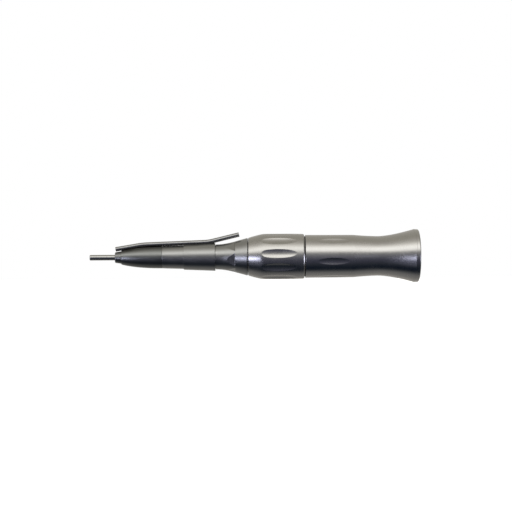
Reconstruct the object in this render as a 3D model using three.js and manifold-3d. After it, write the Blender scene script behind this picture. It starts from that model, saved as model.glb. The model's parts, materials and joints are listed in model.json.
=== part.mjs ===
// A straight surgical handpiece for a dental micromotor, with a twist-lock chuck and a slide-on spray clip.
//
// Units are millimetres. The axis of the handpiece is the X axis: the centre of the face that seats on the motor
// is the origin, the nose points along -X, and +Z is the side that the spray tube runs along.
//
// Every turned piece is a faceted ring. The corners of its outside lie on the stated radius and the flats of its
// bore lie on the stated radius, so a shaft that is smaller than its bore stays clear of it at any angle.

import * as THREE from "three";
import { mergeVertices } from "three/addons/utils/BufferGeometryUtils.js";
import Module from "manifold-3d";

const wasm = await Module();
wasm.setup();

// ---------------------------------------------------------------------------------------------------------------
// Driving dimensions

// Lengths along the axis, from the nose to the motor end.
const tipLength = 3.0; // nose tip that stands out of the nose cone
const coneLength = 17.1; // dark nose cone
const landLength = 9.1; // front housing ahead of the spray clip
const clipLength = 13.3; // spray clip sleeve
const neckLength = 13.7; // front housing behind the clip
const ringGap = 0.4; // seam between the front housing and the chuck ring, which the ring washer fills
const ringLength = 23.6; // twist ring that opens the chuck
const sheathGap = 0.6; // seam behind the ring, which the thrust washer fills
const sheathLength = 47.8; // rear sheath, from the seam to the motor seat

// Walls of the casing, outside of what each stretch holds.
const tipInsertWall = 0.35; // nose tip inside the nose cone
const tipStep = 0.19; // the tip's own radius over its insert
const tipTaper = 0.22; // how much the tip narrows to its front
const coneFrontWall = 0.44;
const coneBackWall = 0.54;
const landWall = 1.03;
const neckWall = 0.87;
const housingBackWall = 1.65;
const ringFrontWall = 1.65;
const ringWall = 3.25;
const sheathFrontWall = 1.7;
const waistWall = 1.0;
const rimWall = 3.3;

// Where the rear sheath changes shape, as distances from the motor seat.
const waistFromSeat = 17.4;
const straightEndFromSeat = 27.5;
const straightTaper = 0.1; // how much the straight stretch narrows
const rimLand = 1.75; // short cylinder at the rim
const flareSlope = 0.285; // rise over run where the flare meets the rim
const mouthFlare = 0.65; // how far the sheath's bore opens out at the motor

// Grip dimples: shallow milled scoops, long along the axis.
const ringDimples = { count: 10, length: 15.2, width: 3.7, depth: 0.5, middle: 11.3, firstAngle: 7.7 };
const sheathDimples = { count: 6, length: 12.4, width: 3.0, depth: 0.36, middle: 11.8, firstAngle: -14.0 };

// Spanner flats on the front housing.
const flatCount = 6;
const flatStep = 0.75; // how far the flats' rear ends lie outside the neck
const flatTilt = 3.5; // degrees that the flats lean in towards the nose
const flatLength = 9;
const flatEndFromRing = 5.2; // front face of the collar behind the flats, ahead of the housing's rear end
const firstFlatAngle = -12.5;

// Tool and chuck.
const shankRadius = 1.175; // a 2.35 mm surgical shank
const toolLength = 65;
const toolReach = 10.8; // how far the tool stands out of the nose tip
const toolChamfer = 0.3;
const colletWall = 0.36;
const colletLength = 12.4;
const colletHeadLength = 2.6;
const colletHeadFlare = 0.3; // how much larger the clamping cone is than the collet
const colletSlots = 3;
const colletSlotWidth = 0.4;
const colletSlotLength = 9.0;
const drawLap = 3.0; // length of the threaded lap between the collet and the draw tube
const drawLapWall = 0.14;
const chuckTravel = 1.1;

// Spindle and bearings.
const spindleWall = 0.36;
const shaftStep = 0.42; // how much thicker the long shaft is than the front journal
const bearingWidth = 2.5;
const bearingSection = 1.5; // outer radius less inner radius
const bearingInset = 8.1; // nose cone's front edge to the first bearing
const bearingSpacing = 2.5; // spacer between the two front bearings
const rearBearingWidth = 3.2;
const rearBearingSection = 2.25;
const rearBearingInset = 3.3; // rear sheath's front edge to the rear bearing
const washerThickness = 0.45;
const washerInset = 0.55; // thrust washer's edge inside the sheath's
const ringWasherInset = 0.3; // ring washer's edge inside the ring's front edge
const nutLength = 1.8;
const nutWall = 1.1;
const sealWidth = 1.7;
const sealWall = 0.55;

// Chuck release: a ring of cam pins that the twist ring drives forwards.
const releaseTravel = 1.5;
const releaseTurn = 40; // degrees that the twist ring turns
const camPinRadius = 0.6;
const camPinAngles = [90, 270];
const camFromRingBack = 5.7; // the pins' place, ahead of the ring's rear end
const camGrooveDepth = 1.2;
const pusherLength = 4.0;
const pusherWall = 1.8;
const releaseCollarLength = 4.0;
const releaseCollarPlay = 0.4; // collar to barrel
const releasePinRadius = 0.5;
const springLength = 19.5;
const springWireRadius = 0.42;
const springTurns = 7.5;
const springSeatLength = 1.4;
const springPlay = 0.1; // spring to the shaft inside it, over the running clearance

// Barrel: the tube that everything is built on.
const barrelWall = 1.1;
const barrelPlay = 0.52; // bearing to the barrel's long bore
const spigotWall = 0.55; // the barrel's front end, inside the front housing
const spigotPlay = 0.35; // chuck spring to the spigot's bore
const spigotInset = 1.1; // clip's rear edge to the spigot's front
const shoulderInset = 2.0; // depth of the housing's rear counterbore
const barrelTail = 9.8; // how far the barrel reaches into the rear sheath
const coneSpigot = 5.0; // threaded end of the nose cone inside the front housing
const coneSpigotWall = 0.42;

// Motor coupling.
const socketRadius = 6.6;
const socketWall = 0.75;
const socketDepth = 26;
const socketSetback = 1.5; // sheath rim to the socket sleeve's rear edge
const socketGroove = { fromMouth: 4.0, width: 1.1, depth: 0.3 };
const dogSetback = 15; // motor seat to the end of the drive dog
const dogWall = 1.02;
const dogSlotWidth = 1.9;
const dogSlotDepth = 3.2;
const dogTravel = 1.5;
const dogSpringLength = 6.3;
const dogSpringTurns = 4.5;
const dogSpringWireRadius = 0.3;
const tailStep = 0.47; // how much thinner the spindle's tail is, where the drive dog slides
const tailLength = 6.0;
const dogPinRadius = 0.5;
const dogPinInset = 3.0;

// Spray clip.
const clipEdgeWall = 0.32; // sheet thickness at the clip's front edge
const clipBackRadius = 5.9;
const gripRing = { fromBack: 3.0, width: 1.2, section: 0.3 };
const tubeRadius = 1.0;
const tubeBore = 0.65;
const tubeSaddle = 0.2; // depth of the brazing saddle in the clip sleeve
const nozzleSetback = 0.2; // the tube's front end behind the front of the nose tip
const nozzleLift = 0.27; // between the nose tip and the tube at its front end
const noseBend = { fromHousing: 7.5, lift: 0.19 }; // first bend, and its gap to the back of the nose cone
const tubeTailLength = 12.9; // bent-up end that takes the irrigation hose
const tubeTailAngle = 13.4; // degrees above the axis
const tubeTailLap = 2.4; // where the tail leaves the clip, ahead of its rear edge

// Clearances.
const seat = 0.03; // between pieces that are pressed, screwed or brazed together
const running = 0.08; // between pieces that turn or slide in each other
const toolClearance = 0.025; // shank in the collet
const oRingWire = 0.45; // side of the square that stands in for an O-ring's section

// Facets around each kind of turned piece.
const shellFacets = 32;
const sleeveFacets = 20;
const smallFacets = 16;

// ---------------------------------------------------------------------------------------------------------------
// Stations along the axis, worked out from the lengths

const sheathFront = -sheathLength;
const ringBack = sheathFront - sheathGap;
const ringFront = ringBack - ringLength;
const housingBack = ringFront - ringGap;
const clipBack = housingBack - neckLength;
const clipFront = clipBack - clipLength;
const housingFront = clipFront - landLength;
const coneFront = housingFront - coneLength;
const noseEnd = coneFront - tipLength;

const coneSpigotBack = housingFront + coneSpigot;
const barrelFront = clipBack + spigotInset;
const barrelShoulder = housingBack - shoulderInset;
const barrelBack = sheathFront + barrelTail;

const firstBearing = coneFront + bearingInset;
const secondBearing = firstBearing + bearingWidth + bearingSpacing;
const washerFront = secondBearing + bearingWidth + seat;
const rearBearing = sheathFront + rearBearingInset;
const nutFront = rearBearing + rearBearingWidth + seat;
const nutBack = nutFront + nutLength;

const toolTip = noseEnd - toolReach;
const toolEnd = toolTip + toolLength;
const camPinX = ringBack - camFromRingBack;
const pusherFront = camPinX - pusherLength / 2;
const pusherGap = releaseTravel - chuckTravel + seat; // play between pusher and collar when the chuck is closed
const releaseCollarBack = pusherFront - pusherGap;
const releaseCollarFront = releaseCollarBack - releaseCollarLength;
const releasePinX = (releaseCollarFront + releaseCollarBack) / 2;
const springBack = releaseCollarFront - seat;
const springFront = springBack - springLength;
const springSeatFront = springFront - seat - springSeatLength;

const dogBack = -dogSetback;
const dogFront = nutBack + dogSpringLength + 2 * seat;
const spindleBack = dogFront + tailLength;
const dogPinX = dogFront + dogPinInset;

const collarFront = coneFront - seat + tipLength / 2; // where the collet's head starts, inside the nose

// Radii that follow from the shank outwards.
const colletBore = shankRadius + toolClearance;
const colletRadius = colletBore + colletWall;
const spindleBore = colletRadius + seat;
const journalRadius = spindleBore + spindleWall;
const shaftRadius = journalRadius + shaftStep;
const bearingBore = journalRadius + seat;
const bearingRadius = bearingBore + bearingSection;
const noseBore = bearingRadius + seat;
const rearBearingBore = shaftRadius + seat;
const rearBearingRadius = rearBearingBore + rearBearingSection;
const sealRadius = journalRadius + running + sealWall;
const springMiddle = shaftRadius + running + springPlay + springWireRadius;
const spigotBore = springMiddle + springWireRadius + spigotPlay;
const spigotRadius = spigotBore + spigotWall;
const barrelBore = rearBearingRadius + seat + barrelPlay;
const barrelRadius = barrelBore + barrelWall;
const releaseCollarRadius = barrelBore - releaseCollarPlay;
const ringBore = barrelRadius + running;
const tailRadius = shaftRadius - tailStep;
const dogRadius = tailRadius + running + dogWall;
const socketOuter = socketRadius + socketWall;
const sheathBore = socketOuter + seat;
const coneSpigotRadius = noseBore + coneSpigotWall;
const tipInsertRadius = journalRadius + running + tipInsertWall;

// Radii of the outside.
const tipRadius = tipInsertRadius + tipStep;
const tipFrontRadius = tipRadius - tipTaper;
const coneFrontRadius = sealRadius + seat + coneFrontWall;
const coneBackRadius = coneSpigotRadius + coneBackWall;
const landBackRadius = coneSpigotRadius + landWall;
const neckRadius = spigotRadius + seat + neckWall;
const flatDistance = neckRadius + flatStep;
const housingBackRadius = barrelRadius + seat + housingBackWall;
const ringFrontRadius = ringBore + ringFrontWall;
const ringRadius = ringBore + ringWall;
const sheathFrontRadius = sheathBore + sheathFrontWall;
const waistRadius = sheathBore + waistWall;
const mouthRadius = socketOuter + mouthFlare;
const rimRadius = mouthRadius + rimWall;

// ---------------------------------------------------------------------------------------------------------------
// Shape helpers

const degrees = (angle) => (angle * Math.PI) / 180;

// A piece turned about the X axis. outer and bore are outlines [[x, radius], ...] from front to rear. Without a bore
// the piece is solid.
function turned(outer, bore, facets) {
  const widen = 1 / Math.cos(Math.PI / facets);
  const inside = bore
    ? bore.map(([x, radius]) => [x, radius * widen]).reverse()
    : [[outer.at(-1)[0], 0]];
  const loop = bore ? [...outer, ...inside, outer[0]] : [[outer[0][0], 0], ...outer, ...inside];
  const points = loop.map(([x, radius]) => new THREE.Vector2(radius, x));
  return new THREE.LatheGeometry(points, facets).rotateZ(-Math.PI / 2);
}

// A plain ring from x = 0 to length.
function plainRing(length, outerRadius, boreRadius, facets) {
  return turned(
    [[0, outerRadius], [length, outerRadius]],
    [[0, boreRadius], [length, boreRadius]],
    facets,
  );
}

// Points of a quadratic curve between two corners of an outline, both ends included.
function curved(from, control, to, steps) {
  const curve = new THREE.QuadraticBezierCurve(
    new THREE.Vector2(...from),
    new THREE.Vector2(...control),
    new THREE.Vector2(...to),
  );
  return curve.getPoints(steps).map((point) => [point.x, point.y]);
}

// A cylinder whose axis lies across X, through the point (x, 0, 0), turned by an angle about X from the +Y side.
function crossCylinder(radius, length, facets) {
  return new THREE.CylinderGeometry(radius, radius, length, facets);
}

// A radial cylinder from one distance off the axis to another, on the +Y side of the axis.
function radialCylinder(radius, from, to, facets) {
  return new THREE.CylinderGeometry(radius, radius, to - from, facets).translate(0, (from + to) / 2, 0);
}

function solidOf(geometry) {
  const bare = geometry.index ? geometry.toNonIndexed() : geometry.clone();
  bare.deleteAttribute("normal");
  bare.deleteAttribute("uv");
  const merged = mergeVertices(bare, 1e-4);
  return new wasm.Manifold(
    new wasm.Mesh({
      numProp: 3,
      vertProperties: merged.attributes.position.array,
      triVerts: new Uint32Array(merged.index.array),
    }),
  );
}

function geometryOf(solid) {
  const mesh = solid.getMesh();
  const geometry = new THREE.BufferGeometry();
  geometry.setAttribute("position", new THREE.BufferAttribute(new Float32Array(mesh.vertProperties), 3));
  geometry.setIndex(new THREE.BufferAttribute(new Uint32Array(mesh.triVerts), 1));
  return geometry;
}

function cut(geometry, tools) {
  let solid = solidOf(geometry);
  for (const tool of tools) solid = solid.subtract(solidOf(tool));
  return geometryOf(solid);
}

function join(geometries) {
  let solid = solidOf(geometries[0]);
  for (const geometry of geometries.slice(1)) solid = solid.add(solidOf(geometry));
  return geometryOf(solid);
}

// Turns a piece made on the +Y side so that it lies at an angle that is counted from the -Y side, upwards.
const placedAt = (geometry, angle) => geometry.rotateX(degrees(180 - angle));

// A scoop cutter: an ellipsoid that meets a cylinder of the given radius in an ellipse of the dimple's size.
function dimpleCutter(dimple, surfaceRadius, angle) {
  const lift = 3.0; // centre of the ellipsoid above the surface, before the sagitta is taken off
  const sagitta = surfaceRadius - Math.sqrt(surfaceRadius ** 2 - (dimple.width / 2) ** 2);
  const deep = lift + dimple.depth;
  const share = (level) => Math.sqrt(1 - (level / deep) ** 2);
  const geometry = new THREE.SphereGeometry(1, 14, 8);
  geometry.scale(
    dimple.length / 2 / share(lift),
    deep,
    dimple.width / 2 / share(Math.min(lift + sagitta, deep * 0.99)),
  );
  return placedAt(geometry.translate(0, surfaceRadius + lift, 0), angle);
}

// A box bent round the X axis: it follows a helix of the given rise over the given turn, at radii from low to high.
function helicalCutter(width, low, high, startAngle, turn, startX, rise, margin) {
  const steps = 8;
  const geometry = new THREE.BoxGeometry(1, 1, 1, steps, 1, 1);
  const position = geometry.attributes.position;
  for (let i = 0; i < position.count; i += 1) {
    const along = (position.getX(i) + 0.5) * (1 + 2 * margin) - margin;
    const angle = degrees(startAngle + turn * along);
    const x = startX + rise * along + position.getY(i) * width;
    const radius = position.getZ(i) > 0 ? high : low;
    position.setXYZ(i, x, radius * Math.cos(angle), radius * Math.sin(angle));
  }
  return turn < 0 ? flipped(geometry) : geometry;
}

// The same geometry with its faces turned round.
function flipped(geometry) {
  const index = geometry.index.array;
  for (let i = 0; i < index.length; i += 3) [index[i + 1], index[i + 2]] = [index[i + 2], index[i + 1]];
  return geometry;
}

class Helix extends THREE.Curve {
  constructor(radius, length, turns) {
    super();
    Object.assign(this, { radius, length, turns });
  }
  getPoint(t, target = new THREE.Vector3()) {
    const angle = 2 * Math.PI * this.turns * t;
    return target.set(t * this.length, this.radius * Math.cos(angle), this.radius * Math.sin(angle));
  }
}

// A round bar swept along a curve.
function swept(curve, radius, sides, steps, boreRadius = 0) {
  const shape = new THREE.Shape();
  shape.absarc(0, 0, radius, 0, 2 * Math.PI);
  if (boreRadius > 0) {
    const hole = new THREE.Path();
    hole.absarc(0, 0, boreRadius, 0, 2 * Math.PI);
    shape.holes.push(hole);
  }
  return new THREE.ExtrudeGeometry(shape, { steps, curveSegments: sides, extrudePath: curve });
}

// ---------------------------------------------------------------------------------------------------------------
// The assembly: one named mesh per piece

const finishes = {
  satinSteel: { color: 0x8d8a84, roughness: 0.32, metalness: 1 },
  darkCoating: { color: 0x4b4f54, roughness: 0.3, metalness: 1 },
  polishedSteel: { color: 0xb4b3ae, roughness: 0.15, metalness: 1 },
  bearingSteel: { color: 0xa9abad, roughness: 0.12, metalness: 1 },
  springSteel: { color: 0x77756f, roughness: 0.3, metalness: 1 },
  brass: { color: 0xb08d4a, roughness: 0.3, metalness: 1 },
  blackRubber: { color: 0x161616, roughness: 0.7, metalness: 0 },
  whiteRing: { color: 0xd9d6cc, roughness: 0.5, metalness: 0 },
};

const handpiece = new THREE.Group();

function add(name, geometry, finish, x = 0, turn = 0) {
  const mesh = new THREE.Mesh(geometry, new THREE.MeshStandardMaterial(finishes[finish]));
  mesh.name = name;
  mesh.position.x = x;
  mesh.rotation.x = degrees(turn);
  handpiece.add(mesh);
}

// ---------------------------------------------------------------------------------------------------------------
// Casing

function rearSheath() {
  const straightEnd = [-straightEndFromSeat, sheathFrontRadius - straightTaper];
  const waist = [-waistFromSeat, waistRadius];
  const rimFront = [-rimLand, rimRadius];
  const flareControl = [-rimLand - (rimRadius - waistRadius) / flareSlope, waistRadius];
  const taperControl = [(straightEnd[0] + waist[0]) / 2, waistRadius + 0.2 * (straightEnd[1] - waistRadius)];
  const outer = [
    [sheathFront, sheathFrontRadius - 0.15],
    [sheathFront + 0.2, sheathFrontRadius],
    ...curved(straightEnd, taperControl, waist, 3),
    ...curved(waist, flareControl, rimFront, 6).slice(1),
    [-0.25, rimRadius],
    [0, rimRadius - 0.25],
  ];
  const bore = [
    [sheathFront, sheathBore],
    [-socketSetback + 0.5, sheathBore],
    [0, mouthRadius],
  ];
  const middle = sheathFront + sheathDimples.middle;
  const cutters = [];
  for (let i = 0; i < sheathDimples.count; i += 1) {
    const angle = sheathDimples.firstAngle + (360 / sheathDimples.count) * i;
    cutters.push(dimpleCutter(sheathDimples, sheathFrontRadius, angle).translate(middle, 0, 0));
  }
  return cut(turned(outer, bore, shellFacets), cutters);
}

function chuckRing() {
  const shoulder = [ringFront + 4.75, ringFrontRadius + 4.75 * 0.272];
  const outer = [
    [ringFront, ringFrontRadius],
    ...curved(shoulder, [ringFront + 5.8, ringRadius], [ringFront + 7.4, ringRadius], 3),
    [ringBack - 0.25, ringRadius - 0.1],
    [ringBack, ringRadius - 0.35],
  ];
  const bore = [
    [ringFront, ringBore],
    [ringBack, ringBore],
  ];
  const cutters = [];
  for (let i = 0; i < ringDimples.count; i += 1) {
    const angle = ringDimples.firstAngle + (360 / ringDimples.count) * i;
    cutters.push(dimpleCutter(ringDimples, ringRadius, angle).translate(ringBack - ringDimples.middle, 0, 0));
  }
  for (const pinAngle of camPinAngles) {
    const slope = Math.atan(releaseTravel / (ringBore * degrees(releaseTurn)));
    const width = (2 * (camPinRadius + running)) / Math.cos(slope);
    const low = ringBore - 0.5;
    const high = ringBore + camGrooveDepth;
    cutters.push(helicalCutter(width, low, high, pinAngle, -releaseTurn, camPinX, -releaseTravel, 0.2));
  }
  return cut(turned(outer, bore, shellFacets), cutters);
}

function frontHousing() {
  const flatEnd = housingBack - flatEndFromRing;
  const coneSlope = 0.278;
  const coneStart = [flatEnd - 0.4, housingBackRadius - coneSlope * (flatEndFromRing + 0.4)];
  const neckControl = [coneStart[0] - (coneStart[1] - neckRadius) / coneSlope, neckRadius];
  const outer = [
    [housingFront, coneBackRadius],
    [clipFront, landBackRadius],
    [clipBack + 0.4, neckRadius],
    ...curved([clipBack + 0.6, neckRadius], neckControl, coneStart, 5).slice(1),
    [housingBack, housingBackRadius],
  ];
  const stop = coneSpigotBack + seat;
  const shaftRoom = shaftRadius + 0.7;
  const bore = [
    [housingFront, coneSpigotRadius + seat],
    [stop, coneSpigotRadius + seat],
    [stop, shaftRoom],
    [stop + 2.4, shaftRoom],
    [stop + 3.4, spigotRadius - 0.35],
    [barrelFront - seat, spigotRadius - 0.35],
    [barrelFront - seat, spigotRadius + seat],
    [barrelShoulder - seat, spigotRadius + seat],
    [barrelShoulder - seat, barrelRadius + seat],
    [housingBack, barrelRadius + seat],
  ];
  const cutters = [];
  for (let i = 0; i < flatCount; i += 1) {
    const slab = new THREE.BoxGeometry(flatLength, flatLength, 2 * housingBackRadius);
    slab.translate(-flatLength / 2, flatLength / 2, 0).rotateZ(degrees(flatTilt));
    slab.translate(flatEnd, flatDistance, 0);
    cutters.push(placedAt(slab, firstFlatAngle + (360 / flatCount) * i));
  }
  return cut(turned(outer, bore, shellFacets), cutters);
}

function noseCone() {
  const back = [housingFront - seat, coneBackRadius];
  const bulge = [coneFront + 0.38 * coneLength, coneBackRadius - 0.02];
  const outer = [
    [coneFront, coneFrontRadius - 0.15],
    [coneFront + 0.2, coneFrontRadius],
    ...curved([coneFront + 0.2, coneFrontRadius], bulge, back, 6).slice(1),
    [back[0], coneSpigotRadius],
    [coneSpigotBack, coneSpigotRadius],
  ];
  const tipBore = tipInsertRadius + seat;
  const bore = [
    [coneFront, tipBore],
    [coneFront + 2.4, tipBore],
    [coneFront + 2.4, sealRadius + seat],
    [firstBearing - 0.6, sealRadius + seat],
    [firstBearing - 0.6, sealRadius - 0.2],
    [firstBearing - seat, sealRadius - 0.2],
    [firstBearing - seat, noseBore],
    [coneSpigotBack, noseBore],
  ];
  return turned(outer, bore, sleeveFacets);
}

function noseTip() {
  const round = 0.45;
  const outer = [
    ...curved([noseEnd, tipFrontRadius - round], [noseEnd, tipFrontRadius], [noseEnd + round, tipFrontRadius], 3),
    [coneFront - seat, tipRadius],
    [coneFront - seat, tipInsertRadius],
    [coneFront + 2.3, tipInsertRadius],
  ];
  const cavity = journalRadius + running;
  const hole = shankRadius + 0.15;
  const cavityFront = collarFront - chuckTravel - 0.3;
  const bore = [
    [noseEnd, hole + 0.25],
    [noseEnd + 0.3, hole],
    [cavityFront, hole],
    [cavityFront, cavity],
    [coneFront + 2.3, cavity],
  ];
  return turned(outer, bore, sleeveFacets);
}

function barrel() {
  const outer = [
    [barrelFront, spigotRadius],
    [barrelShoulder, spigotRadius],
    [barrelShoulder, barrelRadius],
    [sheathFront, barrelRadius],
    [sheathFront, sheathBore - seat],
    [sheathFront + 2.0, sheathBore - seat],
    [sheathFront + 2.0, sheathBore - oRingWire],
    [sheathFront + 2.0 + oRingWire * 2, sheathBore - oRingWire],
    [sheathFront + 2.0 + oRingWire * 2, sheathBore - seat],
    [barrelBack, sheathBore - seat],
  ];
  const bearingSeat = rearBearingRadius + seat;
  const bore = [
    [barrelFront, spigotBore],
    [barrelShoulder + 1.2, spigotBore],
    [barrelShoulder + 1.2, barrelBore],
    [rearBearing - 1.2, barrelBore],
    [rearBearing - 1.2, rearBearingRadius - 0.5],
    [rearBearing - seat, rearBearingRadius - 0.5],
    [rearBearing - seat, bearingSeat],
    [barrelBack, bearingSeat],
  ];
  const slotLength = releaseTravel + 2 * (camPinRadius + 0.15);
  const slots = camPinAngles.map((angle) => {
    const slot = new THREE.BoxGeometry(slotLength, 4, 2 * (camPinRadius + running));
    slot.translate(camPinX - releaseTravel / 2, barrelRadius, 0);
    return slot.rotateX(degrees(angle));
  });
  return cut(turned(outer, bore, sleeveFacets), slots);
}

function socketSleeve() {
  const front = -socketSetback - socketDepth + 3;
  const back = -socketSetback;
  const grooveBack = back - socketGroove.fromMouth;
  const grooveFront = grooveBack - socketGroove.width;
  const outer = [
    [front, socketOuter],
    [back, socketOuter],
  ];
  const bore = [
    [front, socketRadius],
    [grooveFront, socketRadius],
    [grooveFront + 0.2, socketRadius + socketGroove.depth],
    [grooveBack - 0.2, socketRadius + socketGroove.depth],
    [grooveBack, socketRadius],
    [back - 0.5, socketRadius],
    [back, socketRadius + 0.4],
  ];
  return turned(outer, bore, shellFacets);
}

// ---------------------------------------------------------------------------------------------------------------
// Bearings, each with an outer race, an inner race and a caged row of balls

function bearingSizes(bore, section, width) {
  const middle = bore + section / 2;
  return { bore, width, middle, outer: bore + section, ball: section * 0.27, race: section * 0.3 };
}

// The groove that the balls run in, as two corners of an outline.
function raceGroove(size, radius, depth) {
  const half = size.ball + running;
  return [
    [size.width / 2 - half, radius],
    [size.width / 2 - half * 0.6, depth],
    [size.width / 2 + half * 0.6, depth],
    [size.width / 2 + half, radius],
  ];
}

function outerRace(size, facets) {
  const wall = size.outer - size.race;
  const groove = raceGroove(size, wall, size.middle + size.ball + running);
  return turned(
    [[0, size.outer], [size.width, size.outer]],
    [[0, wall], ...groove, [size.width, wall]],
    facets,
  );
}

function innerRace(size, facets) {
  const wall = size.bore + size.race;
  const groove = raceGroove(size, wall, size.middle - size.ball - running);
  return turned(
    [[0, wall], ...groove, [size.width, wall]],
    [[0, size.bore], [size.width, size.bore]],
    facets,
  );
}

function ballCage(size, balls) {
  const half = size.ball * 0.45;
  const cageWidth = size.ball * 1.5;
  const cage = plainRing(cageWidth, size.middle + half, size.middle - half, sleeveFacets);
  const pieces = [cage.translate(size.width / 2 - cageWidth / 2, 0, 0)];
  for (let i = 0; i < balls; i += 1) {
    const ball = new THREE.SphereGeometry(size.ball, 6, 4);
    ball.translate(size.width / 2, size.middle, 0);
    pieces.push(ball.rotateX((2 * Math.PI * i) / balls));
  }
  return join(pieces);
}

// ---------------------------------------------------------------------------------------------------------------
// Spindle, chuck and drive

function spindle() {
  const head = collarFront + 0.15;
  const shaftFront = secondBearing + bearingWidth + seat;
  const outer = [
    [head, journalRadius],
    [shaftFront, journalRadius],
    [shaftFront, shaftRadius],
    [nutBack, shaftRadius],
    [nutBack, tailRadius],
    [spindleBack, tailRadius],
  ];
  const coneLengthInside = colletHeadLength;
  const bore = [
    [head, spindleBore + colletHeadFlare - 0.03],
    [head + coneLengthInside, spindleBore],
    [nutFront - 2, spindleBore],
    [nutFront - 1, 0.8],
    [spindleBack, 0.8],
  ];
  const slotLength = chuckTravel + 2 * (releasePinRadius + 0.12);
  const slot = new THREE.BoxGeometry(slotLength, 4 * shaftRadius, 2 * (releasePinRadius + running));
  slot.translate(releasePinX - chuckTravel / 2, 0, 0);
  const hole = crossCylinder(dogPinRadius + seat, 4 * tailRadius, 12).translate(dogPinX, 0, 0);
  return cut(turned(outer, bore, smallFacets), [slot, hole]);
}

function collet() {
  const back = collarFront + colletLength;
  const lapRadius = colletRadius - drawLapWall - seat;
  const headRadius = colletRadius + colletHeadFlare - 0.06;
  const outer = [
    [collarFront, headRadius - 0.1],
    [collarFront + 0.15, headRadius],
    [collarFront + colletHeadLength, colletRadius],
    [back, colletRadius],
    [back, lapRadius],
    [back + drawLap - 0.1, lapRadius],
  ];
  const bore = [
    [collarFront, colletBore + 0.1],
    [collarFront + 0.2, colletBore],
    [back + drawLap - 0.1, colletBore],
  ];
  const slots = [];
  for (let i = 0; i < colletSlots; i += 1) {
    const slot = new THREE.BoxGeometry(colletSlotLength, 3, colletSlotWidth);
    slot.translate(collarFront + colletSlotLength / 2 - 0.2, 1.6, 0);
    slots.push(slot.rotateX((2 * Math.PI * i) / colletSlots));
  }
  return cut(turned(outer, bore, smallFacets), slots);
}

function drawTube() {
  const front = collarFront + colletLength + seat;
  const back = releasePinX + 3.0;
  const bore = [
    [front, colletRadius - drawLapWall],
    [front + drawLap, colletRadius - drawLapWall],
    [front + drawLap, colletBore],
    [back, colletBore],
  ];
  const hole = crossCylinder(releasePinRadius + seat, 4 * colletRadius, 12).translate(releasePinX, 0, 0);
  return cut(turned([[front, colletRadius], [back, colletRadius]], bore, smallFacets), [hole]);
}

function releaseCollar() {
  const ring = plainRing(releaseCollarLength, releaseCollarRadius, shaftRadius + running, smallFacets);
  ring.translate(releaseCollarFront, 0, 0);
  const hole = crossCylinder(releasePinRadius + seat, 4 * releaseCollarRadius, 12).translate(releasePinX, 0, 0);
  return cut(ring, [hole]);
}

function pusherRing() {
  const ring = plainRing(pusherLength, barrelBore - running, barrelBore - running - pusherWall, smallFacets);
  ring.translate(pusherFront, 0, 0);
  const holes = camPinAngles.map((angle) => {
    const hole = radialCylinder(camPinRadius + seat, barrelBore - pusherWall * 0.6, barrelBore + 1, 12);
    return hole.translate(camPinX, 0, 0).rotateX(degrees(angle));
  });
  return cut(ring, holes);
}

function driveDog() {
  const outer = [
    [dogFront, dogRadius - 0.2],
    [dogFront + 0.2, dogRadius],
    [dogBack - 0.3, dogRadius],
    [dogBack, dogRadius - 0.3],
  ];
  const boreEnd = spindleBack + dogTravel + 0.2;
  const bore = [
    [dogFront, tailRadius + running],
    [boreEnd, tailRadius + running],
    [boreEnd, 1.1],
    [dogBack, 1.1],
  ];
  const fork = new THREE.BoxGeometry(dogSlotDepth * 2, 4 * dogRadius, dogSlotWidth).translate(dogBack, 0, 0);
  const slotLength = dogTravel + 2 * (dogPinRadius + 0.1);
  const slot = new THREE.BoxGeometry(slotLength, 4 * dogRadius, 2 * (dogPinRadius + running));
  slot.translate(dogPinX + dogTravel / 2, 0, 0);
  return cut(turned(outer, bore, smallFacets), [fork, slot]);
}

function coilSpring(length, coilRadius, wireRadius, turns) {
  const helix = new Helix(coilRadius, length - 2 * wireRadius, turns);
  return swept(helix, wireRadius, 3, Math.round(turns * 9)).translate(wireRadius, 0, 0);
}

// ---------------------------------------------------------------------------------------------------------------
// Spray clip

const clipFrontRadius = landBackRadius + seat + clipEdgeWall;

// The housing's own radius under the clip, at a distance along the axis.
function seatRadius(x) {
  const share = (x - clipFront) / (clipBack + 0.4 - clipFront);
  return landBackRadius + (neckRadius - landBackRadius) * share;
}

// The clip's own outer radius, at a distance along the axis.
function clipRadius(x) {
  return clipFrontRadius + (clipBackRadius - clipFrontRadius) * ((x - clipFront) / clipLength);
}

function clipSleeve(tubeCutter) {
  const grooveBack = clipBack - gripRing.fromBack;
  const grooveFront = grooveBack - gripRing.width;
  const groove = seatRadius(grooveBack) + running + gripRing.section + running;
  const outer = [
    [clipFront, clipFrontRadius - 0.06],
    [clipFront + 0.3, clipFrontRadius],
    [clipBack - 0.2, clipBackRadius],
    [clipBack, clipBackRadius - 0.1],
  ];
  const bore = [
    [clipFront, seatRadius(clipFront) + running / 2],
    [grooveFront, seatRadius(grooveFront) + running],
    [grooveFront, groove],
    [grooveBack, groove],
    [grooveBack, seatRadius(grooveBack) + running],
    [clipBack, seatRadius(clipBack) + running],
  ];
  return cut(turned(outer, bore, shellFacets), [tubeCutter]);
}

function clipGripRing() {
  const back = clipBack - gripRing.fromBack - running;
  const front = back - gripRing.width + 2 * running;
  const radius = seatRadius(back) + running / 2;
  return plainRing(back - front, radius + gripRing.section, radius, sleeveFacets).translate(front, 0, 0);
}

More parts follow.
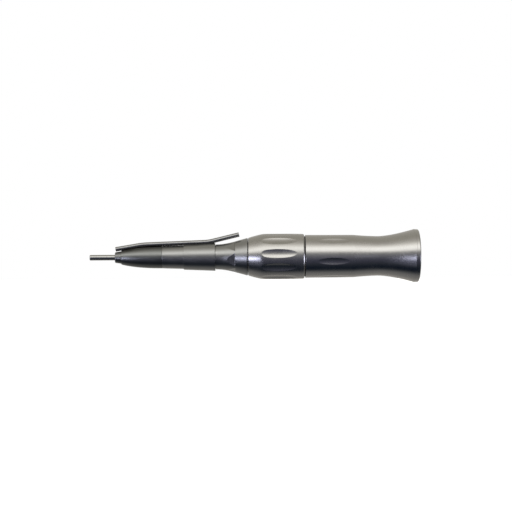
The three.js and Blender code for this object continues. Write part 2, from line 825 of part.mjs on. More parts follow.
// The centre line of the spray tube, in the plane above the axis: nozzle, bend at the nose, bend at the clip, tail.
function tubePath() {
  const restOn = tubeRadius - tubeSaddle + seat;
  const tailStart = clipBack - tubeTailLap;
  const tailHeight = clipRadius(tailStart) + restOn;
  const nozzle = [noseEnd + nozzleSetback, tipFrontRadius + tubeRadius + nozzleLift];
  const bend = [housingFront - noseBend.fromHousing, coneBackRadius + tubeRadius + noseBend.lift];
  const tail = [
    tailStart + tubeTailLength * Math.cos(degrees(tubeTailAngle)),
    tailHeight + tubeTailLength * Math.sin(degrees(tubeTailAngle)),
  ];
  const at = ([x, z]) => new THREE.Vector3(x, 0, z);
  const corner = [tailStart, tailHeight];
  const path = new THREE.CurvePath();
  const between = (from, to, distance) => at(from).lerp(at(to), distance / at(from).distanceTo(at(to)));
  const rounding = 2.2;
  const bendIn = between(bend, nozzle, rounding);
  const bendOut = between(bend, corner, rounding);
  const cornerIn = between(corner, bend, rounding);
  const cornerOut = between(corner, tail, rounding);
  path.add(new THREE.LineCurve3(at(nozzle), bendIn));
  path.add(new THREE.QuadraticBezierCurve3(bendIn, at(bend), bendOut));
  path.add(new THREE.LineCurve3(bendOut, cornerIn));
  path.add(new THREE.QuadraticBezierCurve3(cornerIn, at(corner), cornerOut));
  path.add(new THREE.LineCurve3(cornerOut, at(tail)));
  return path;
}

// ---------------------------------------------------------------------------------------------------------------
// Put it together, from the outside inwards

add("rear_sheath", rearSheath(), "satinSteel");
add("chuck_ring", chuckRing(), "satinSteel");
add("front_housing", frontHousing(), "satinSteel");
add("nose_cone", noseCone(), "darkCoating");
add("nose_tip", noseTip(), "darkCoating");
add("barrel", barrel(), "satinSteel");
add("socket_sleeve", socketSleeve(), "polishedSteel");

const washerRadius = sheathFrontRadius - washerInset;
const washerBore = barrelRadius + seat;
const washerLength = sheathGap - 2 * running;
add("thrust_washer", plainRing(washerLength, washerRadius, washerBore, shellFacets), "blackRubber", ringBack + running);
const ringWasherRadius = ringFrontRadius - ringWasherInset;
const ringWasher = plainRing(ringGap - 2 * running, ringWasherRadius, washerBore, shellFacets);
add("ring_washer", ringWasher, "blackRubber", housingBack + running);
add(
  "sheath_o_ring",
  plainRing(oRingWire * 2 - 2 * running, sheathBore - seat, sheathBore - oRingWire + seat, sleeveFacets),
  "blackRubber",
  sheathFront + 2.0 + running,
);

const sealBack = firstBearing - 0.6 - running;
const sealBore = journalRadius + running;
add("shaft_seal", plainRing(sealWidth, sealRadius, sealBore, smallFacets), "blackRubber", sealBack - sealWidth);

const frontSize = bearingSizes(bearingBore, bearingSection, bearingWidth);
const rearSize = bearingSizes(rearBearingBore, rearBearingSection, rearBearingWidth);
const bearings = [
  { name: "first_bearing", size: frontSize, x: firstBearing, balls: 8 },
  { name: "second_bearing", size: frontSize, x: secondBearing, balls: 8 },
  { name: "rear_bearing", size: rearSize, x: rearBearing, balls: 7 },
];
for (const { name, size, x, balls } of bearings) {
  add(`${name}_outer_race`, outerRace(size, sleeveFacets), "bearingSteel", x);
  add(`${name}_inner_race`, innerRace(size, smallFacets), "bearingSteel", x);
  add(`${name}_ball_cage`, ballCage(size, balls), "brass", x);
}

const spacerX = firstBearing + bearingWidth + seat;
const spacer = plainRing(bearingSpacing - 2 * seat, bearingRadius, bearingRadius - 0.45, sleeveFacets);
add("bearing_spacer", spacer, "satinSteel", spacerX);
const washer = plainRing(washerThickness, bearingRadius, bearingRadius - 0.5, sleeveFacets);
add("preload_washer", washer, "springSteel", washerFront);
const sleeveX = washerFront + washerThickness + seat;
const sleeve = plainRing(coneSpigotBack - sleeveX, bearingRadius, bearingRadius - 0.45, sleeveFacets);
add("bearing_sleeve", sleeve, "satinSteel", sleeveX);
const retainerLength = barrelBack - nutFront;
const retainer = plainRing(retainerLength, rearBearingRadius, rearBearingRadius - 0.6, sleeveFacets);
add("rear_bearing_retainer", retainer, "satinSteel", nutFront);

add("spindle", spindle(), "satinSteel");
const nut = plainRing(nutLength - seat, shaftRadius + nutWall, shaftRadius + seat, smallFacets);
add("spindle_nut", nut, "satinSteel", nutFront);
const seatRing = plainRing(springSeatLength, spigotBore - 0.35, shaftRadius + seat, smallFacets);
add("spring_seat", seatRing, "satinSteel", springSeatFront);
const chuckSpring = coilSpring(springLength, springMiddle, springWireRadius, springTurns);
add("chuck_spring", chuckSpring, "springSteel", springFront);

add("collet", collet(), "polishedSteel");
add("draw_tube", drawTube(), "satinSteel");
add("release_collar", releaseCollar(), "satinSteel");
const releasePin = crossCylinder(releasePinRadius, 2 * (releaseCollarRadius - 0.3), 12);
add("release_pin", releasePin, "bearingSteel", releasePinX);
const toolStop = turned([[0, colletBore - seat], [2.0, colletBore - seat]], null, smallFacets);
add("tool_stop", toolStop, "satinSteel", toolEnd + 0.1);

add("pusher_ring", pusherRing(), "satinSteel");
const pinFrom = barrelBore - pusherWall * 0.6 + seat;
const pinTo = ringBore + camGrooveDepth - 0.15;
camPinAngles.forEach((angle, i) => {
  const pin = radialCylinder(camPinRadius, pinFrom, pinTo, 12);
  add(`cam_pin_${i + 1}`, pin, "bearingSteel", camPinX, angle);
});

add("drive_dog", driveDog(), "satinSteel");
const dogSpringMiddle = tailRadius + running + springPlay + dogSpringWireRadius;
const dogSpring = coilSpring(dogSpringLength, dogSpringMiddle, dogSpringWireRadius, dogSpringTurns);
add("dog_spring", dogSpring, "springSteel", nutBack + seat);
add("dog_pin", crossCylinder(dogPinRadius, 2 * (dogRadius - 0.15), 12), "bearingSteel", dogPinX);

const tool = turned(
  [
    [0, shankRadius - toolChamfer],
    [toolChamfer, shankRadius],
    [toolLength - toolChamfer, shankRadius],
    [toolLength, shankRadius - toolChamfer],
  ],
  null,
  smallFacets,
);
add("blank_bur", tool, "polishedSteel", toolTip);

const tubeCurve = tubePath();
const tubeSteps = 18;
const tubeSides = 5;
add("clip_sleeve", clipSleeve(swept(tubeCurve, tubeRadius + seat, tubeSides, tubeSteps)), "satinSteel");
add("clip_grip_ring", clipGripRing(), "whiteRing");
add("spray_tube", swept(tubeCurve, tubeRadius, tubeSides, tubeSteps, tubeBore), "polishedSteel");

export default handpiece;
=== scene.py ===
"""Looks for a straight surgical handpiece with a twist-lock chuck ring and a slide-on spray clip.

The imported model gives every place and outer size. Outlines are written here in millimetres, as (x, radius) corners
along the handpiece's axis: x = 0 is the face that seats on the motor, the nose points along -X, and +Z is the side of
the spray tube. Angles round the axis are counted from the -Y side, upwards.
"""

import json
import math

import bpy
import numpy as np
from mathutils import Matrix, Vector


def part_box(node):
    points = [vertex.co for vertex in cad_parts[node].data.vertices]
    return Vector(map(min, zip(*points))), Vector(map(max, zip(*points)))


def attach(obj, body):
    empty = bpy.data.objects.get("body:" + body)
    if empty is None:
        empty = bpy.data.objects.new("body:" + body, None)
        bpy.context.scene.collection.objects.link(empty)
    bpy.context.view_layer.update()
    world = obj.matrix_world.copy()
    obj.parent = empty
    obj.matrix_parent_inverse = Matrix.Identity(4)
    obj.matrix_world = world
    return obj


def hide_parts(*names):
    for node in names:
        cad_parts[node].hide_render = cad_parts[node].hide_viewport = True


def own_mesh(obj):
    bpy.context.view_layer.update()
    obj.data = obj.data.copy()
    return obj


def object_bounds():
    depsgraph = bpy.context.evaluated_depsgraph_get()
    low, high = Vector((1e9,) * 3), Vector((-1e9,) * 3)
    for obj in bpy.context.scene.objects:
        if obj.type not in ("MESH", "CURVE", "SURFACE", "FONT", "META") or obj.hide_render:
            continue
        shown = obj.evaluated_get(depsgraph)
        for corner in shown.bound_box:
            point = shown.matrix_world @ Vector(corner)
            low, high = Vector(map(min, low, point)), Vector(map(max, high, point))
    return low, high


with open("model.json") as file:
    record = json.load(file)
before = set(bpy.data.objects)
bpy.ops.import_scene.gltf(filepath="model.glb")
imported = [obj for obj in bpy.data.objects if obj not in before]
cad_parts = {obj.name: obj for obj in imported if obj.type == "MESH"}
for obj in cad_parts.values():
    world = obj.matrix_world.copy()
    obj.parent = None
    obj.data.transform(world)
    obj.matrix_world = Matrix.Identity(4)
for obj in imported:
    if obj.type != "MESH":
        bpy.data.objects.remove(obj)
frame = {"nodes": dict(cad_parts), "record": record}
cad_low, cad_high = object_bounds()

MM = 0.001
GAP = 0.03  # between pieces that are screwed, pressed or brazed together
RUNNING = 0.08  # between pieces that turn or slide in each other


# ---------------------------------------------------------------------------------------------------------------
# Sizes: ends and outer radii come from the frame, the rest of each outline is named here


def span(node):
    """Front end, rear end and largest radius of a CAD node, in millimetres."""
    low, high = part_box(node)
    return low.x / MM, high.x / MM, high.y / MM


SHEATH_FRONT, MOTOR_SEAT, RIM_RADIUS = span("rear_sheath")
RING_FRONT, RING_BACK, RING_RADIUS = span("chuck_ring")
HOUSING_FRONT, HOUSING_BACK, HOUSING_RADIUS = span("front_housing")
CONE_FRONT, CONE_BACK, CONE_RADIUS = span("nose_cone")
TIP_FRONT, TIP_BACK, TIP_RADIUS = span("nose_tip")
CLIP_FRONT, CLIP_BACK, CLIP_RADIUS = span("clip_sleeve")
TOOL_TIP, TOOL_END, TOOL_RADIUS = span("blank_bur")
SOCKET_FRONT, SOCKET_BACK, SOCKET_RADIUS = span("socket_sleeve")
WASHER_FRONT, WASHER_BACK, WASHER_RADIUS = span("thrust_washer")
DOG_FRONT, DOG_BACK, DOG_RADIUS = span("drive_dog")
BARREL_RADIUS = 6.3

SHEATH = {
    "lip": SHEATH_FRONT - 0.15,
    "front_radius": 9.08,
    "straight_end": -27.5,
    "straight_taper": 0.1,
    "waist": -17.4,
    "waist_radius": 8.38,
    "flare_slope": 0.285,
    "rim_land": 1.75,
    "bore": SOCKET_RADIUS + GAP,
    "mouth": 8.0,
}
RING = {"front_radius": 8.03, "front_slope": 0.31, "shoulder": 4.75, "shoulder_radius": 9.32, "round_end": 7.4}
HOUSING = {
    "front_radius": 4.7,
    "land_radius": 5.0,
    "neck_radius": 5.3,
    "cone_slope": 0.272,
    "flats_behind": 5.2,
    "flat_distance": 5.95,
    "flat_tilt": math.radians(3.5),
    "flats": 6,
    "first_flat": math.radians(-12.5),
    "relief": 0.1,
    "groove": 0.3,
}
NOSE = {
    "front": CONE_FRONT - 0.3,
    "front_radius": 3.08,
    "back_radius": 4.7,
    "bulge": 0.38,
    "bore": TIP_RADIUS - 0.17,
    "tip_radius": TIP_RADIUS + 0.08,
    "tip_thread": TIP_RADIUS - 0.2,
}
SOCKET_BORE = 6.6
TUBE = {
    "radius": 0.96,
    "bore": 0.62,
    "nozzle": (TIP_FRONT + 0.2, 3.5),
    "nose_bend": (HOUSING_FRONT - 8.5, 5.38),
    "nose_rounding": 2.2,
    "clip_bend": CLIP_BACK - 2.8,
    "clip_rounding": 2.0,
    "tail_angle": math.radians(13.4),
    "below_box": 0.15,
}

# Grip dimples, as an ellipse on the surface: length, width, depth, middle and the first one's angle.
RING_DIMPLES = (10, 16.5, 3.65, 0.5, RING_BACK - 11.2, math.radians(7.7))
SHEATH_DIMPLES = (6, 14.4, 3.15, 0.38, SHEATH_FRONT + 11.9, math.radians(-14.0))


# ---------------------------------------------------------------------------------------------------------------
# Outlines


def rounded(corners, closed=True, steps=4):
    """Outline through corners (x, radius, rounding): a corner is cut back by its rounding and bridged by an arc."""
    points = []
    for i, (x, radius, rounding) in enumerate(corners):
        here = np.array([x, radius])
        if rounding == 0 or (not closed and i in (0, len(corners) - 1)):
            points.append(here)
            continue
        back = np.array(corners[i - 1][:2]) - here
        ahead = np.array(corners[(i + 1) % len(corners)][:2]) - here
        reach = min(rounding, 0.45 * np.hypot(*back), 0.45 * np.hypot(*ahead))
        start = here + reach * back / np.hypot(*back)
        end = here + reach * ahead / np.hypot(*ahead)
        for t in np.linspace(0, 1, steps + 1):
            points.append((1 - t) ** 2 * start + 2 * t * (1 - t) * here + t**2 * end)
    return np.array(points)


def curved(start, control, end, steps=24):
    """Corners along a quadratic curve, without its two ends."""
    t = np.linspace(0, 1, steps + 1)[1:-1, None]
    points = (1 - t) ** 2 * np.array(start) + 2 * t * (1 - t) * np.array(control) + t**2 * np.array(end)
    return [(x, radius, 0) for x, radius in points]


def spaced(outline, step, fine=None, fine_step=0.15, closed=True, bore=0):
    """The outline with extra points, so that none of its stretches is longer than step, or fine_step in fine. A
    straight bore of the given radius needs none and is left whole."""
    ends = np.roll(outline, -1, axis=0) if closed else outline[1:]
    pieces = []
    for start, end in zip(outline, ends):
        wanted = step
        if fine and fine[0] <= (start[0] + end[0]) / 2 <= fine[1] and start[1] > fine[2]:
            wanted = fine_step
        if max(start[1], end[1]) <= bore:
            wanted = math.inf
        count = max(1, math.ceil(np.hypot(*(end - start)) / wanted))
        t = np.arange(count)[:, None] / count
        pieces.append(start + (end - start) * t)
    if not closed:
        pieces.append(outline[-1:])
    return np.vstack(pieces)


# ---------------------------------------------------------------------------------------------------------------
# Meshes


def mesh_object(name, points, faces, sharp=40):
    """A smooth-shaded mesh from points in millimetres, with edges sharper than the given angle kept sharp."""
    mesh = bpy.data.meshes.new(name)
    mesh.from_pydata((points * MM).tolist(), [], faces)
    mesh.validate()
    mesh.shade_smooth()
    mesh.set_sharp_from_angle(angle=math.radians(sharp))
    piece = bpy.data.objects.new(name, mesh)
    bpy.context.scene.collection.objects.link(piece)
    return piece


def grid_faces(rows, columns, closed_rows, first=0):
    """Quads of a grid that is closed across its columns, and across its rows if closed_rows."""
    i = np.arange(rows if closed_rows else rows - 1)[:, None]
    j = np.arange(columns)[None, :]
    k = (j + 1) % columns
    below = (i + 1) % rows
    quads = np.stack([i * columns + j, i * columns + k, below * columns + k, below * columns + j], axis=-1)
    return first + quads.reshape(-1, 4)


def facing_out(points, faces):
    """The faces, turned round if they enclose a negative volume."""
    corners = np.array([face[:3] for face in faces])
    a, b, c = (points[corners[:, n]] for n in range(3))
    fourth = np.array([face[3] if len(face) == 4 else face[0] for face in faces])
    d = points[fourth]
    volume = np.einsum("ij,ij->", a, np.cross(b, c)) + np.einsum("ij,ij->", a, np.cross(c, d))
    return [face[::-1] for face in faces] if volume < 0 else faces


def closed_grid(name, rings, poles=()):
    """A closed mesh from rings of points: the rings join into a loop, or end in the two poles."""
    rows, columns = rings.shape[:2]
    points = rings.reshape(-1, 3)
    faces = grid_faces(rows, columns, closed_rows=len(poles) == 0).tolist()
    if len(poles):
        points = np.vstack([points, poles])
        first, last = rows * columns, rows * columns + 1
        base = (rows - 1) * columns
        for j in range(columns):
            k = (j + 1) % columns
            faces.append([first, k, j])
            faces.append([last, base + j, base + k])
    return mesh_object(name, points, facing_out(points, faces))


def turned(name, outline, segments=192, milled=None):
    """The outline turned about the axis: each of its corners (x, radius) becomes the ring x, -radius cos(angle),
    radius sin(angle). milled(x, angle, radius) gives the radius that milling leaves."""
    angle = np.arange(segments) * 2 * math.pi / segments
    x = outline[:, :1] + 0 * angle
    radius = outline[:, 1:] + 0 * angle
    if milled:
        radius = milled(x, angle + 0 * x, radius)
    rings = np.stack([x, -radius * np.cos(angle), radius * np.sin(angle)], axis=-1)
    if outline[0, 1] > 0:
        return closed_grid(name, rings)
    return closed_grid(name, rings[1:-1], poles=[rings[0, 0], rings[-1, 0]])


def swept(name, path, section, sides=24):
    """A round section carried along a path in the plane above the axis: each (place along, radius) of the section
    becomes a circle about that place on the path, square to the path there."""
    steps = np.diff(path, axis=0)
    along = np.concatenate([[0], np.cumsum(np.hypot(*steps.T))])
    where = np.clip(section[:, 0], 0, along[-1])
    x = np.interp(where, along, path[:, 0])
    z = np.interp(where, along, path[:, 1])
    nudge = 0.05
    ahead = np.clip(where + nudge, 0, along[-1])
    behind = np.clip(where - nudge, 0, along[-1])
    dx = np.interp(ahead, along, path[:, 0]) - np.interp(behind, along, path[:, 0])
    dz = np.interp(ahead, along, path[:, 1]) - np.interp(behind, along, path[:, 1])
    length = np.hypot(dx, dz)
    normal = np.stack([-dz / length, 0 * dz, dx / length], axis=-1)[:, None]
    side = np.array([0, 1, 0])
    angle = np.arange(sides)[None, :, None] * 2 * math.pi / sides
    centre = np.stack([x, 0 * x, z], axis=-1)[:, None]
    radius = section[:, 1][:, None, None]
    return closed_grid(name, centre + radius * (np.cos(angle) * normal + np.sin(angle) * side))


def coil(name, start, length, coil_radius, wire_radius, turns, sides=10):
    """A helical spring: its wire's centre goes round the axis turns times at an even climb, and a circle of the
    wire's radius is carried along it, square to the wire."""
    steps_per_turn = 28
    steps = int(turns * steps_per_turn)
    t = np.linspace(0, 1, steps + 1)
    angle = 2 * math.pi * turns * t
    reach = length - 2 * wire_radius
    around = np.stack([0 * t, -np.sin(angle), np.cos(angle)], axis=-1)
    radial = np.stack([0 * t, np.cos(angle), np.sin(angle)], axis=-1)
    centre = coil_radius * radial + np.stack([start + wire_radius + reach * t, 0 * t, 0 * t], axis=-1)
    slope = reach / (2 * math.pi * turns * coil_radius)
    upright = np.array([1, 0, 0]) - slope * around
    upright /= np.linalg.norm(upright, axis=1)[:, None]
    turn = np.arange(sides)[None, :, None] * 2 * math.pi / sides
    rings = centre[:, None] + wire_radius * (np.cos(turn) * radial[:, None] + np.sin(turn) * upright[:, None])
    return closed_grid(name, rings, poles=[centre[0], centre[-1]])


def prism(outline, front, back, chamfer):
    """Points and faces of a bar: its (y, z) outline carried straight along the axis, and drawn in towards its middle
    over the chamfer at the rear end."""
    middle = outline.mean(axis=0)
    shrunk = middle + (outline - middle) * (1 - chamfer / np.abs(outline - middle).max())
    levels = [(front, outline), (back - chamfer, outline), (back, shrunk)]
    points = np.vstack([np.column_stack([np.full(len(o), x), o]) for x, o in levels])
    count = len(outline)
    faces = grid_faces(len(levels), count, closed_rows=False).tolist()
    faces.append(list(range(count)))
    faces.append([2 * count + i for i in reversed(range(count))])
    return points, faces


def soft_lower(a, b, blend):
    """The lower of two heights, less a parabola where they are within blend of each other, so the crease between
    them is rounded."""
    near = np.clip(blend - np.abs(a - b), 0, None) / blend
    return np.minimum(a, b) - near**2 * blend / 4


def dimples(count, length, width, depth, middle, first_angle, surface):
    """Milled scoops: ellipsoids centred above the surface that meet it in an ellipse of the dimple's size."""
    lift = 3.0
    deep = lift + depth
    sagitta = surface - math.sqrt(surface**2 - (width / 2) ** 2)
    half_length = length / 2 / math.sqrt(1 - (lift / deep) ** 2)
    half_width = width / 2 / math.sqrt(1 - (min(lift + sagitta, 0.99 * deep) / deep) ** 2)

    def milled(x, angle, radius):
        for i in range(count):
            away = angle - first_angle - 2 * math.pi * i / count
            across, up = np.sin(away), np.cos(away)
            # The radius where the ellipsoid's near side lies: the smaller root of a quadratic.
            a = (across / half_width) ** 2 + (up / deep) ** 2
            b = up * (surface + lift) / deep**2
            c = ((surface + lift) / deep) ** 2 + ((x - middle) / half_length) ** 2 - 1
            inside = b**2 - a * c
            scoop = (b - np.sqrt(np.clip(inside, 0, None))) / a
            scoop = np.where((inside > 0) & (up > 0), scoop, 2 * surface)
            radius = soft_lower(radius, scoop, 0.05)
        return radius

    return milled


# ---------------------------------------------------------------------------------------------------------------
# Casing


def rear_sheath():
    """Grip, open at the motor end: a slight taper, a quadratic curve down to the waist, another up to the rim at
    the flare's slope, then a short land. Ellipsoidal dimples are milled into the taper."""
    straight_end = (SHEATH["straight_end"], SHEATH["front_radius"] - SHEATH["straight_taper"])
    waist = (SHEATH["waist"], SHEATH["waist_radius"])
    rim = (MOTOR_SEAT - SHEATH["rim_land"], RIM_RADIUS)
    taper = (
        (straight_end[0] + waist[0]) / 2,
        waist[1] + 0.2 * (straight_end[1] - waist[1]),
    )
    flare = (rim[0] - (rim[1] - waist[1]) / SHEATH["flare_slope"], waist[1])
    corners = [
        (SHEATH["lip"], SHEATH["bore"], 0.08),
        (SHEATH["lip"], SHEATH["front_radius"], 0.15),
        (*straight_end, 0.6),
        *curved(straight_end, taper, waist),
        (*waist, 0),
        *curved(waist, flare, rim),
        (*rim, 0.03),
        (rim[0] + 0.35, RIM_RADIUS - 0.08, 0.06),
        (MOTOR_SEAT - 0.3, RIM_RADIUS - 0.08, 0.15),
        (MOTOR_SEAT, RIM_RADIUS - 0.35, 0.12),
        (MOTOR_SEAT, SHEATH["mouth"], 0.15),
        (MOTOR_SEAT - 1.0, SHEATH["bore"], 0.1),
    ]
    count, length, width, depth, middle, first = SHEATH_DIMPLES
    zone = (middle - length / 2 - 0.4, middle + length / 2 + 0.4, SHEATH["waist_radius"])
    row = 0.8  # wider than on the other shells, which keeps this large shell's mesh lighter
    outline = spaced(rounded(corners), row, bore=SHEATH["bore"])
    outline = spaced(outline, row, zone, bore=SHEATH["bore"])
    scoops = dimples(count, length, width, depth, middle, first, SHEATH["front_radius"])
    return turned("rear_sheath_shell", outline, 448, scoops)


def chuck_ring():
    """Twist ring: a quadratic curve that starts at the front slope, another that rounds over into a cylinder, a slight
    drop and a chamfer at the rear. Ellipsoidal dimples are milled into it."""
    bore = BARREL_RADIUS + RUNNING
    front = (RING_FRONT, RING["front_radius"])
    shoulder = (RING_FRONT + RING["shoulder"], RING["shoulder_radius"])
    belly = (RING_FRONT + 0.5 * RING["shoulder"], front[1] + 0.5 * RING["shoulder"] * RING["front_slope"])
    full = (RING_FRONT + RING["round_end"], RING_RADIUS)
    end_slope = (shoulder[1] - belly[1]) / (shoulder[0] - belly[0])
    control = (shoulder[0] + (RING_RADIUS - shoulder[1]) / end_slope, RING_RADIUS)
    chamfer, rear_drop = 0.42, 0.1
    corners = [
        (RING_FRONT, bore, 0.1),
        (*front, 0.05),
        *curved(front, belly, shoulder, 12),
        (*shoulder, 0),
        *curved(shoulder, control, full, 10),
        (*full, 0),
        (RING_BACK - 5.5, RING_RADIUS, 2.0),
        (RING_BACK - chamfer, RING_RADIUS - rear_drop, 0.03),
        (RING_BACK, RING_RADIUS - rear_drop - 0.72 * chamfer, 0.04),
        (RING_BACK, bore, 0.1),
    ]
    count, length, width, depth, middle, first = RING_DIMPLES
    zone = (middle - length / 2 - 0.4, middle + length / 2 + 0.4, RING["front_radius"])
    outline = spaced(rounded(corners), 0.5, bore=bore)
    outline = spaced(outline, 0.5, zone, bore=bore)
    scoops = dimples(count, length, width, depth, middle, first, RING_RADIUS)
    return turned("chuck_ring_shell", outline, 448, scoops)


def spanner_flats(x, angle, radius):
    """Flats milled into the cone ahead of a step: the radius is cut down to a plane that leans in towards the nose,
    which is the plane's distance over the cosine of the angle from its middle. A fine relief groove, triangular
    along x, lies where each flat meets the step."""
    step = HOUSING_BACK - HOUSING["flats_behind"]
    distance = HOUSING["flat_distance"] - np.tan(HOUSING["flat_tilt"]) * (step - x)
    for i in range(HOUSING["flats"]):
        away = angle - HOUSING["first_flat"] - 2 * math.pi * i / HOUSING["flats"]
        facing = np.cos(away)
        plane = np.where(facing > 0.5, distance / np.clip(facing, 0.5, 1), 2 * HOUSING_RADIUS)
        groove = HOUSING["relief"] * np.clip(1 - np.abs(x - step + 0.22) / 0.12, 0, 1)
        cut = soft_lower(radius, plane, 0.03) - groove * (plane < radius)
        radius = np.where((x < step) & (x > CLIP_BACK), cut, radius)
    return radius


def front_housing():
    """Land, neck under the spray clip with a groove at the clip's rear edge, a quadratic curve that leaves the neck
    level and joins the cone at its slope, and the cone with its spanner flats."""
    step = HOUSING_BACK - HOUSING["flats_behind"]
    slope = HOUSING["cone_slope"]
    start = (step - 0.4, HOUSING_RADIUS - slope * (HOUSING["flats_behind"] + 0.4))
    neck = (CLIP_BACK + 0.6, HOUSING["neck_radius"])
    control = (start[0] - (start[1] - neck[1]) / slope, neck[1])
    step_radius = HOUSING_RADIUS - slope * HOUSING["flats_behind"]
    spigot = BARREL_RADIUS + GAP
    groove = HOUSING["groove"]
    corners = [
        (HOUSING_FRONT, 4.0, 0.05),
        (HOUSING_FRONT, HOUSING["front_radius"], 0.12),
        (HOUSING_FRONT + 1.8, HOUSING["front_radius"] + 0.08, 1.0),
        (CLIP_FRONT, HOUSING["land_radius"], 0.5),
        (CLIP_BACK - groove, HOUSING["neck_radius"] - 0.04, 0.05),
        (CLIP_BACK - groove, HOUSING["neck_radius"] - groove, 0.05),
        (CLIP_BACK + groove, HOUSING["neck_radius"] - groove, 0.05),
        (CLIP_BACK + groove, HOUSING["neck_radius"], 0.05),
        (*neck, 0),
        *curved(neck, control, start, 20),
        (*start, 0),
        (step - 0.015, step_radius - 0.004, 0),
        (step + 0.015, step_radius + 0.004, 0),
        (HOUSING_BACK, HOUSING_RADIUS, 0.18),
        (HOUSING_BACK, spigot, 0.1),
        (HOUSING_BACK - 2.0, spigot, 0.05),
        (HOUSING_BACK - 2.0, 4.35, 0.05),
    ]
    zone = (step - 6.5, step + 0.1, HOUSING["neck_radius"] - 0.2)
    outline = spaced(spaced(rounded(corners), 0.6), 0.6, zone, 0.09)
    return turned("front_housing_shell", outline, 384, spanner_flats)


def nose_cone():
    """Bullet-shaped cone: one quadratic curve from the front edge to the housing, with a fine turned edge at each
    end and a stepped bore."""
    back_x = HOUSING_FRONT - GAP
    start = (NOSE["front"] + 0.3, NOSE["front_radius"])
    bulge = (NOSE["front"] + NOSE["bulge"] * (back_x - NOSE["front"]), NOSE["back_radius"] - 0.02)
    back = (back_x, NOSE["back_radius"])
    corners = [
        (NOSE["front"], NOSE["bore"], 0.05),
        (NOSE["front"], NOSE["front_radius"] - 0.05, 0.2),
        (*start, 0.05),
        *curved(start, bulge, back, 28),
        (*back, 0.12),
        (back_x, 3.9, 0.05),
        (CONE_BACK, 3.9, 0.1),
        (CONE_BACK, 3.55, 0.05),
        (CONE_FRONT + 3.0, 3.3, 0.1),
        (CONE_FRONT + 3.0, NOSE["bore"], 0.05),
    ]
    return turned("nose_cone_shell", spaced(rounded(corners), 0.6))


def nose_tip():
    """Collar that tapers straight towards the front, with a countersunk hole for the shank."""
    hole = TOOL_RADIUS + 0.15
    corners = [
        (TIP_FRONT, hole + 0.28, 0.05),
        (TIP_FRONT, NOSE["tip_radius"] - 0.42, 0.25),
        (NOSE["front"] - GAP, NOSE["tip_radius"], 0.08),
        (NOSE["front"] - GAP, NOSE["tip_thread"], 0.05),
        (TIP_BACK, NOSE["tip_thread"], 0.1),
        (TIP_BACK, 2.05, 0.05),
        (CONE_FRONT + 0.2, 2.05, 0.05),
        (CONE_FRONT + 0.2, hole, 0.05),
        (TIP_FRONT + 0.3, hole, 0.05),
    ]
    return turned("nose_tip_collar", spaced(rounded(corners, steps=6), 0.5))


def blank_bur():
    """Plain ground shank: a straight cylinder with a rounded front edge and a rounded rear edge."""
    corners = [
        (TOOL_TIP, 0, 0),
        (TOOL_TIP, TOOL_RADIUS, 0.35),
        (TOOL_END, TOOL_RADIUS, 0.3),
        (TOOL_END, 0, 0),
    ]
    return turned("bur_shank", spaced(rounded(corners, closed=False, steps=6), 2.0, closed=False), 96)


def socket_sleeve():
    """Straight polished sleeve with a flared mouth and the groove that the motor's spring ring snaps into."""
    groove = SOCKET_BACK - 4.0
    corners = [
        (SOCKET_FRONT, SOCKET_BORE, 0.05),
        (SOCKET_FRONT, SOCKET_RADIUS, 0.1),
        (SOCKET_BACK, SOCKET_RADIUS, 0.1),
        (SOCKET_BACK, SOCKET_BORE + 0.4, 0.08),
        (SOCKET_BACK - 0.5, SOCKET_BORE, 0.15),
        (groove, SOCKET_BORE, 0.06),
        (groove - 0.2, SOCKET_BORE + 0.3, 0.06),
        (groove - 0.9, SOCKET_BORE + 0.3, 0.06),
        (groove - 1.1, SOCKET_BORE, 0.06),
    ]
    return turned("motor_socket_sleeve", spaced(rounded(corners), 1.0))


def plain_ring(name, node, bore, rounding):
    """A washer, spacer or sleeve of a CAD node's length and outer radius, with rounded edges."""
    front, back, radius = span(node)
    corners = [
        (front, bore, rounding),
        (front, radius, rounding),
        (back, radius, rounding),
        (back, bore, rounding),
    ]
    return turned(name, rounded(corners), 160)


def drive_dog():
    """Spring-loaded coupling: a turned sleeve, and two prongs for the motor's fork. A prong's outline is an arc of
    the outer circle and an arc of the hole's, cut off by the slot's two sides."""
    slot, hole, depth = 0.95, 1.1, 3.2
    corners = [
        (DOG_FRONT, 2.0, 0.05),
        (DOG_FRONT, DOG_RADIUS, 0.2),
        (DOG_BACK - depth, DOG_RADIUS, 0.02),
        (DOG_BACK - depth, hole, 0.05),
        (DOG_BACK - depth - 6.0, hole, 0.05),
        (DOG_BACK - depth - 6.0, 2.0, 0.05),
    ]
    body = rounded(corners)
    edge = math.asin(slot / DOG_RADIUS)
    notch = math.asin(slot / hole)
    outer = np.linspace(edge, math.pi - edge, 40)
    inner = np.linspace(math.pi - notch, notch, 10)
    outline = np.vstack(
        [
            np.column_stack([DOG_RADIUS * np.cos(outer), DOG_RADIUS * np.sin(outer)]),
            np.column_stack([hole * np.cos(inner), hole * np.sin(inner)]),
        ]
    )
    points, faces = [], []
    for side in (1, -1):
        bar, bar_faces = prism(outline * side, DOG_BACK - depth - 0.02, DOG_BACK, 0.15)
        first = sum(len(p) for p in points)
        faces += [[first + i for i in face] for face in facing_out(bar, bar_faces)]
        points.append(bar)
    prongs = mesh_object("drive_dog_prongs", np.vstack(points), faces, sharp=30)
    return turned("drive_dog_sleeve", body, 96), prongs


# ---------------------------------------------------------------------------------------------------------------
# Spray clip


